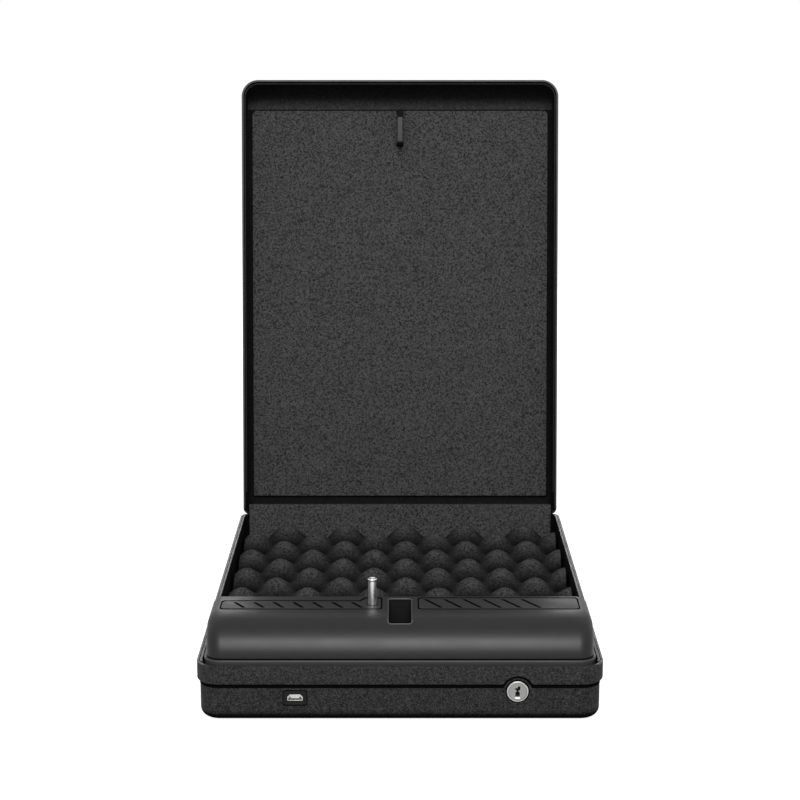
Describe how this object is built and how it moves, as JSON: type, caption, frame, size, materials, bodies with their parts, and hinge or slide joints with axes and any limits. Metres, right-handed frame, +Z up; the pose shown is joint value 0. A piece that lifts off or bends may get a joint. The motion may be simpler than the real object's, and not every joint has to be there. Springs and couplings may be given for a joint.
{
  "type": "portable car safe",
  "caption": "Flat steel portable safe with a rear-hinged lid, egg-crate foam tray, moulded lock housing, key lock, pop-up pin and charging port.",
  "frame": {"origin": "middle of the pan's flat underside; the lid's weight is not centred over it while the lid is open, and the thin rubber feet reach 1 mm below it", "axes": "+X is the user's right, -Y is the front with the key lock and charging port, +Z is up; the lid opens towards +Y"},
  "size_m": [0.216, 0.3563, 0.3217],
  "materials": {
    "painted_steel": "black textured powder coat",
    "painted_steel_edge": "black satin powder coat",
    "rubber": "matt black rubber",
    "foam": "charcoal open-cell foam",
    "satin_plastic": "satin black moulded plastic",
    "trim_plastic": "fine matt black plastic",
    "black_plastic": "matt black plastic",
    "circuit_board": "green solder mask",
    "cell_sleeve": "blue shrink sleeve",
    "dark_glass": "dark glossy window",
    "bare_steel": "zinc plated steel",
    "lock_steel": "satin nickel plated steel",
    "bright_steel": "bright plated steel",
    "brass": "plain brass"
  },
  "bodies": {
    "base": {"base_pan": "painted_steel", "base_collar": "painted_steel_edge", "foot_front_left": "rubber", "foot_front_right": "rubber", "foot_rear_left": "rubber", "foot_rear_right": "rubber", "floor_foam": "foam", "rear_foam": "foam", "lock_housing": "satin_plastic", "trim_strip_left": "trim_plastic", "trim_strip_right": "trim_plastic", "housing_screw_1": "bare_steel", "housing_screw_2": "bare_steel", "housing_screw_3": "bare_steel", "housing_screw_4": "bare_steel", "latch_frame": "bare_steel", "latch_spring": "bare_steel", "gear_motor": "bare_steel", "motor_bracket": "bare_steel", "lock_cylinder": "lock_steel", "lock_bracket": "bare_steel", "lock_nut": "brass", "plunger_guide": "bare_steel", "plunger_spring": "bare_steel", "usb_bezel": "black_plastic", "usb_port": "bright_steel", "control_board": "circuit_board", "board_tray": "black_plastic", "buzzer": "black_plastic", "battery_cell": "cell_sleeve", "battery_holder": "black_plastic", "hinge_leaf_base_left": "painted_steel_edge", "hinge_leaf_base_right": "painted_steel_edge", "hinge_pin_left": "bare_steel", "hinge_pin_right": "bare_steel"},
    "lid": {"lid_shell": "painted_steel", "lid_inner_frame": "painted_steel_edge", "lid_foam": "foam", "lid_striker": "painted_steel_edge", "hinge_leaf_lid_left": "painted_steel_edge", "hinge_leaf_lid_right": "painted_steel_edge", "keypad_bezel": "black_plastic", "keypad_board": "circuit_board", "fingerprint_sensor": "dark_glass"},
    "latch": {"latch_bar": "bare_steel"},
    "release_cam": {"motor_shaft": "bare_steel", "motor_cam": "brass"},
    "key_core": {"lock_core": "lock_steel", "lock_cam": "bare_steel", "lock_cam_nut": "bare_steel"},
    "pop_up_pin": {"plunger_pin": "bright_steel"},
    "push_key_1": {"key_1": "black_plastic"},
    "push_key_2": {"key_2": "black_plastic"},
    "push_key_3": {"key_3": "black_plastic"},
    "push_key_4": {"key_4": "black_plastic"}
  },
  "joints": [
    {"name": "lid_hinge", "type": "hinge", "parent": "base", "child": "lid", "pos_m": [0, 0.1429, 0.0351], "axis": [1, 0, 0], "range_deg": [0, 99.27]},
    {"name": "motor_cam_turn", "type": "hinge", "parent": "base", "child": "release_cam", "pos_m": [0.02808, -0.1155, 0.02], "axis": [0, 1, 0], "range_deg": [0, 180]},
    {"name": "latch_slide", "type": "slide", "parent": "base", "child": "latch", "axis": [-1, 0, 0], "range_m": [0, 0.0105], "deforming": ["latch_spring"]},
    {"name": "key_turn", "type": "hinge", "parent": "base", "child": "key_core", "pos_m": [0.0621, -0.13, 0.0167], "axis": [0, -1, 0], "range_deg": [-90, 0]},
    {"name": "pin_slide", "type": "slide", "parent": "base", "child": "pop_up_pin", "axis": [0, 0, 1], "range_m": [-0.0146, 0], "deforming": ["plunger_spring"]},
    {"name": "key_1_press", "type": "slide", "parent": "lid", "child": "push_key_1", "axis": [0, -0.9869, 0.1611], "range_m": [0, 0.0005], "stiffness_N_per_m": 400, "springref_m": -0.0008},
    {"name": "key_2_press", "type": "slide", "parent": "lid", "child": "push_key_2", "axis": [0, -0.9869, 0.1611], "range_m": [0, 0.0005], "stiffness_N_per_m": 400, "springref_m": -0.0008},
    {"name": "key_3_press", "type": "slide", "parent": "lid", "child": "push_key_3", "axis": [0, -0.9869, 0.1611], "range_m": [0, 0.0005], "stiffness_N_per_m": 400, "springref_m": -0.0008},
    {"name": "key_4_press", "type": "slide", "parent": "lid", "child": "push_key_4", "axis": [0, -0.9869, 0.1611], "range_m": [0, 0.0005], "stiffness_N_per_m": 400, "springref_m": -0.0008}
  ],
  "couplings": [
    {"joint": "motor_cam_turn", "follows": "latch_slide", "rad_per_m": 299.19},
    {"joint": "pin_slide", "follows": "lid_hinge", "m_per_rad": -0.00837}
  ]
}
